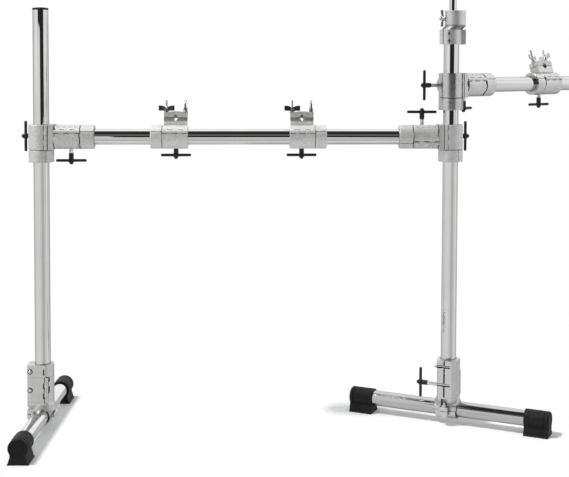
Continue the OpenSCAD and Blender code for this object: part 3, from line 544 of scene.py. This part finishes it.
def add_seams(groove):
    """Painted shade in the interlocking seam between each tee's bar clamp and its lock, and in the cast
    slots and dashes beside it, as dark raised lines.

    Points are millimetres along the bar and degrees up from the front."""
    start = TEE_BAR_START / MM
    end = (TEE_BAR_START + TEE_BAR_LEN) / MM + 0.15
    step_in = -2.6
    zigzag = [(0, 72), (0, 30), (step_in, 24), (step_in, 6), (0, 0), (0, -28),
              (step_in, -34), (step_in, -52), (0, -58), (0, -78)]
    pocket = [(3, 42), (3, 4)]
    upper_dash = [(7, 58), (14, 58.1)]
    lower_dash = [(10, -63), (16, -63.1)]
    dash_step = 14
    left = Vector((LEFT.x, LEFT.y, BAR_Z))
    right = Vector((RIGHT.x, RIGHT.y, BAR_Z))
    side = Vector((RIGHT.x, RIGHT.y, SIDE_Z))
    tees = [
        ("left_tee", left, 0.0, 1, "bar_frame", 1.0),
        ("right_tee", right, 0.0, -1, "bar_frame", 0.8),
        ("side_tee", side, SIDE_TURN, 1, "side_arm", 3.2),
    ]
    for name, origin, turn, sign, body, width in tees:
        place = bar_surface(origin, turn, sign)
        lines = [seam_line(zigzag, end, width, place), seam_line(pocket, start, 1.6, place)]
        for k in range(4):
            lines.append(seam_line(upper_dash, start + k * dash_step, 1.1, place))
            lines.append(seam_line(lower_dash, start + k * dash_step, 0.9, place))
        if name == "side_tee":
            lines.append(seam_line(zigzag, start + 2, 2.2, place))
        add_piece(name + "_seams", merged(lines), groove, body, False)


def leg_axes(turn, place):
    """Axes of a leg, with X along its base tube and Y towards its slit."""
    turned = Matrix.Translation((place.x, place.y, 0)) @ Matrix.Rotation(turn, 4, "Z")
    return turned @ Matrix.Scale(-1, 4, (0, 1, 0))


def add_leg_slots(groove):
    """Painted shade in the gaps between the hinge leaves of the left leg clamp, and of the lock above it,
    as dark slots.

    Each is its Y, two heights from the seam, how far it lies behind the face, and its depth, all in mm."""
    axes = leg_axes(LEFT_BASE_TURN, LEFT)
    wide = 3 * MM
    near = -7.4
    far = -18.8
    on_clamp = [(near, -28, -13.4, 0, SLOT_DEPTH), (near, -52.4, -37.8, 0, SLOT_DEPTH),
                (far, -11, -1.2, 3, 7), (far, -37.8, -23, 3, 7)]
    on_lock = [(near, 6, 20.7, 0, SLOT_DEPTH)]
    for name, slots, body in (("hinge", on_clamp, "left_base"), ("lock", on_lock, "left_column")):
        shapes = [
            slot(axes, LEG_FACE - back * MM, y * MM, LEG_SEAM + low * MM, LEG_SEAM + high * MM, wide, deep)
            for y, low, high, back, deep in slots
        ]
        add_piece(f"left_leg_{name}_slots", merged(shapes), groove, body, False)


def add_leg_slit(groove):
    """Shadow in the slit down the front of the right leg clamp and of its lock, left open at the bolts.

    Each stretch is two heights above the base tube's axis, in millimetres."""
    axes = leg_axes(RIGHT_BASE_TURN, RIGHT) @ Matrix.Rotation(math.pi / 2, 4, "Z")
    wide = 3.8 * MM
    on_clamp = [(36, 60), (70, 94.5)]
    on_lock = [(97, 105.5), (115.5, 123)]
    for name, stretches, body in (("clamp", on_clamp, "right_base"), ("lock", on_lock, "right_column")):
        shapes = [slot(axes, LEG_SLIT_FACE, 0, BASE_H + low * MM, BASE_H + high * MM, wide)
                  for low, high in stretches]
        add_piece(f"right_leg_{name}_slit", merged(shapes), groove, body, False)


def add_leg_nuts(groove, steel):
    """Domed nuts in recesses painted dark as shade, where the two bolts of the left leg come through its
    flat front.
    """
    axes = leg_axes(LEFT_BASE_TURN, LEFT)
    recess = [(0, -0.5), (6.4, -0.5), (6.4, 0.2), (0, 0.2)]
    dome = [(0, -0.4), (4.3, -0.4), (4.3, 1.2), (3.6, 2.0), (2.0, 2.6), (0, 2.8)]
    bolts = [("lock", LEG_LOCK_BOLT, "left_column"), ("clamp", LEG_CLAMP_BOLT, "left_base")]
    for name, height, body in bolts:
        spot = axes @ Matrix.Translation((LEG_FACE, LEG_BOLT_Y, height)) @ Z_TO_X
        add_piece(f"left_leg_{name}_recess", lathe(recess, spot), groove, body, False)
        add_piece(f"left_leg_{name}_nut", lathe(dome, spot), steel, body)


def base_ends(axes, along):
    """Axes at both ends of a base, at a distance from its column, with Z pointing outwards."""
    for end in (0, math.pi):
        out = axes @ Matrix.Rotation(end, 4, "Z") @ Matrix.Translation((along, 0, BASE_H))
        yield out @ Z_TO_X


def add_saddle_gaps(groove):
    """Painted shade in the gap around the base tube at each end of its saddle, and between the ears of the
    strap.
    """
    ring = [(19.2, -0.5), (20.7, -0.2), (20.6, 0.25), (19.2, 0.35)]
    half_gap = 1 * MM
    for side, turn, place in BASES:
        axes = leg_axes(turn, place)
        gaps = [lathe(ring, end) for end in base_ends(axes, SADDLE_END)]
        gaps.append(slot(axes, EAR_FACE, EAR_Y, BASE_H - half_gap, BASE_H + half_gap, EAR_WIDTH))
        add_piece(side + "_saddle_gaps", merged(gaps), groove, side + "_base")


def foot_rings(end):
    """Rim and inner ring on the closed end of a foot, and two beads around its sleeve."""
    for outer, inner, high in ((20.8, 18.6, 0.9), (13.6, 12.2, 0.6)):
        yield lathe([(outer, -0.3), (outer - 0.3, high), (inner + 0.3, high), (inner, -0.3)], end)
    for back in (24.0, 48.0):
        bead = [(22.6, -back - 1.2), (23.45, -back - 0.7), (23.45, -back + 0.7), (22.6, -back + 1.2)]
        yield lathe(bead, end)


def add_foot_rims(black):
    """Moulded rings on the feet of both bases."""
    for side, turn, place in BASES:
        ends = base_ends(leg_axes(turn, place), BASE_LEN / 2)
        rings = [ring for end in ends for ring in foot_rings(end)]
        add_piece(side + "_base_foot_rims", merged(rings), black, side + "_base")


def add_cap_cover(black):
    """Black domed cover over the left column's end cap."""
    profile = [(0, -0.4), (18.6, -0.4), (18.6, -3.6), (19.35, -3.6), (19.45, -1.2), (19.1, 0.2),
               (17.6, 1.1), (14.0, 1.9), (8.0, 2.5), (2.5, 2.7), (0, 2.7)]
    cover = lathe(profile, Matrix.Translation((LEFT.x, LEFT.y, COLUMN_TOP)))
    add_piece("left_column_cap_cover", cover, black, "left_column")


def add_trim():
    # Near-black groove_shadow paints the shade in seams, slots, slits, recesses and gaps
    groove = rubber("groove_shadow", 0.004, 0.012)
    black = rubber("black_moulding", 0.006, 0.016)
    steel = hardware("chrome_nuts", (0, 0, 1), 0.6, 0.75)
    add_seams(groove)
    add_leg_slots(groove)
    add_leg_slit(groove)
    add_leg_nuts(groove, steel)
    add_saddle_gaps(groove)
    add_cap_cover(black)
    add_foot_rims(black)


# Studio

def angle_band(tree, angle, low, high, soft):
    """1 between two angles in degrees, with an edge of so many degrees about each."""
    half = soft / 2
    return band(tree, angle, math.radians(low - half), math.radians(high + half), math.radians(soft))


def studio_level(tree):
    """How bright the studio is in each direction, as the polished parts mirror it.

    around turns from the camera to the right, height and lift go up, and aside goes to the right."""
    x, y, z = position(tree, "Generated")
    ahead = math_node(tree, "MULTIPLY", y, -1.0)
    around = math_node(tree, "ARCTAN2", x, ahead)
    height = math_node(tree, "ARCTAN2", z, ahead)
    aside = math_node(tree, "ARCSINE", x)
    lift = math_node(tree, "ARCSINE", z)
    # Each patch: how far it lifts or lowers the even white, then two ranges: angle, low, high, softness
    patches = [
        # Panels at the front left and at the front right, and a strip at the right
        (0.20, (around, -72, -42, 6), (height, -4, 85, 6)),
        (0.12, (around, 42, 76, 5), (height, -4, 85, 6)),
        (0.38, (around, 78, 96, 5), (height, -60, 120, 8)),
        # Dimmer floor behind the rack, to the left and to the right
        (-0.15, (around, -180, -95, 6), (lift, -90, 3, 4)),
        (-0.12, (around, 97, 128, 5), (lift, -90, 3, 4)),
        (-0.34, (around, 130, 180, 5), (lift, -90, 3, 4)),
        # Dimmer floor in front of the rack, with a dark strip in it
        (-0.12, (aside, -14, 90, 3), (height, -44, -4, 3)),
        (-0.22, (aside, 6, 42, 3), (height, -30, -4, 3)),
        (-0.45, (aside, -30, 60, 8), (height, -55, -40, 5)),
        # Brighter wall behind the rack and over it
        (0.50, (aside, -50, 70, 10), (height, 104, 150, 6)),
        (0.35, (aside, -50, 70, 10), (height, 150, 177, 4)),
    ]
    level = 1.0
    for amount, wide, tall in patches:
        inside = math_node(tree, "MULTIPLY", angle_band(tree, *wide), angle_band(tree, *tall))
        level = math_node(tree, "MULTIPLY_ADD", inside, amount, level)
    return level


def make_world():
    """Plain white to the camera, a cool even light on rough surfaces, and the patched studio in mirrors."""
    world = bpy.data.worlds.new("studio")
    bpy.context.scene.world = world
    world.use_nodes = True
    tree = world.node_tree
    tree.nodes.clear()
    out = tree.nodes.new("ShaderNodeOutputWorld")
    ambient = add_node(tree, "ShaderNodeBackground", Color=(0.96, 0.98, 1, 1), Strength=0.52)
    seen = add_node(tree, "ShaderNodeBackground", Color=WHITE, Strength=1.0)
    mirrored = add_node(tree, "ShaderNodeBackground", Strength=1.0)
    gather = tree.nodes.new("ShaderNodeCombineColor")
    level = studio_level(tree)
    for channel in gather.inputs:
        link(tree, level, channel)
    link(tree, gather.outputs[0], mirrored.inputs["Color"])
    path = tree.nodes.new("ShaderNodeLightPath")
    unseen = mix_shaders(tree, path.outputs["Is Glossy Ray"], ambient.outputs[0], mirrored.outputs[0])
    final = mix_shaders(tree, path.outputs["Is Camera Ray"], unseen, seen.outputs[0])
    link(tree, final, out.inputs["Surface"])


def base_distance(tree, x, y, place, turn):
    """Distance on the floor from the middle line of a base that stands at place."""
    dx = math_node(tree, "SUBTRACT", x, place.x)
    dy = math_node(tree, "SUBTRACT", y, place.y)
    c, s = math.cos(turn), math.sin(turn)
    along = math_node(tree, "MULTIPLY_ADD", dx, c, math_node(tree, "MULTIPLY", dy, s))
    across = math_node(tree, "MULTIPLY_ADD", dy, c, math_node(tree, "MULTIPLY", dx, -s))
    over = math_node(tree, "SUBTRACT", math_node(tree, "ABSOLUTE", along), BASE_LEN / 2)
    over = math_node(tree, "MAXIMUM", over, 0.0)
    squares = math_node(tree, "MULTIPLY_ADD", over, over, math_node(tree, "MULTIPLY", across, across))
    return math_node(tree, "SQRT", squares)


def floor_paper():
    """White paper with shadows near the two bases; to the camera and in mirrors it ends beyond them."""
    material, tree, surface = blank_material("floor_paper")
    paper = add_node(tree, "ShaderNodeBsdfDiffuse", Color=(0.84, 0.84, 0.84, 1))
    bright_paper = add_node(tree, "ShaderNodeBsdfDiffuse", Color=WHITE)
    glow = add_node(tree, "ShaderNodeEmission", Color=WHITE, Strength=0.05)
    lit = tree.nodes.new("ShaderNodeAddShader")
    link(tree, bright_paper.outputs[0], lit.inputs[0])
    link(tree, glow.outputs[0], lit.inputs[1])
    x, y = position(tree)[:2]
    left = rise(tree, base_distance(tree, x, y, LEFT, LEFT_BASE_TURN), *LEFT_SHADOW)
    right = rise(tree, base_distance(tree, x, y, RIGHT, RIGHT_BASE_TURN), *RIGHT_SHADOW)
    away = math_node(tree, "MULTIPLY", left, right)
    clear = tree.nodes.new("ShaderNodeBsdfTransparent")
    near = mix_shaders(tree, away, lit.outputs[0], clear.outputs[0])
    path = tree.nodes.new("ShaderNodeLightPath")
    direct, mirrored = path.outputs["Is Camera Ray"], path.outputs["Is Glossy Ray"]
    either = math_node(tree, "ADD", direct, mirrored, clamp=True)
    link(tree, mix_shaders(tree, either, paper.outputs[0], near), surface)
    return material


def make_floor():
    """Floor just under the soles, so that it never lies in their faces."""
    r = FLOOR_REACH
    square = [(-r, -r, 0), (r, -r, 0), (r, r, 0), (-r, r, 0)], [(0, 1, 2, 3)]
    floor = add_mesh("floor", square, floor_paper())
    floor.location = (0, 0, -FLOOR_DROP)


def board_cloth():
    """Cloth that only mirrors show: dark, with a greyer stretch in its middle heights."""
    full_height = 3.0
    material, tree, surface = blank_material("board_cloth")
    share = math_node(tree, "DIVIDE", position(tree)[2], full_height)
    dark, pale, dim = grey(0.03), grey(0.24), grey(0.04)
    tone = ramp(tree, share, [(0.38, dark), (0.52, pale), (0.59, pale), (0.72, dim)])
    cloth = add_node(tree, "ShaderNodeEmission", Strength=1.0)
    link(tree, tone, cloth.inputs["Color"])
    clear = tree.nodes.new("ShaderNodeBsdfTransparent")
    path = tree.nodes.new("ShaderNodeLightPath")
    final = mix_shaders(tree, path.outputs["Is Glossy Ray"], clear.outputs[0], cloth.outputs[0])
    link(tree, final, surface)
    return material


def make_dark_board():
    """Dark board in front of the rack and over it, which only the polished parts mirror."""
    lower_left = LEFT.x - 0.02
    upper_left = LEFT.x - 0.9
    right = LEFT.x + 2.1
    front = LEFT.y - 1.7
    profile = [(lower_left, front, 0.62), (lower_left, front, 1.01),
               (upper_left, front, 1.03), (upper_left, front, 2.5),
               (upper_left, LEFT.y - 0.9, 2.75), (upper_left, LEFT.y + 0.12, 2.85)]
    vertices = [(x, y, z) for left, y, z in profile for x in (left, right)]
    faces = [(2 * i, 2 * i + 1, 2 * i + 3, 2 * i + 2) for i in range(len(profile) - 1)]
    board = add_mesh("dark_board", (vertices, faces), board_cloth())


def make_lamp():
    """Soft sun from the upper left, a little in front of the rack."""
    data = bpy.data.lights.new("key", "SUN")
    data.energy = 1.95
    data.angle = math.radians(7.5)
    data.color = (1, 0.99, 0.97)
    lamp = add_object("key", data)
    toward = Vector((0.45, 0.13, -0.80))
    lamp.rotation_euler = toward.to_track_quat("-Z", "Y").to_euler()


make_camera()
dress_nodes()
add_trim()
make_world()
make_floor()
make_dark_board()
make_lamp()
bpy.context.scene.view_settings.view_transform = "Standard"
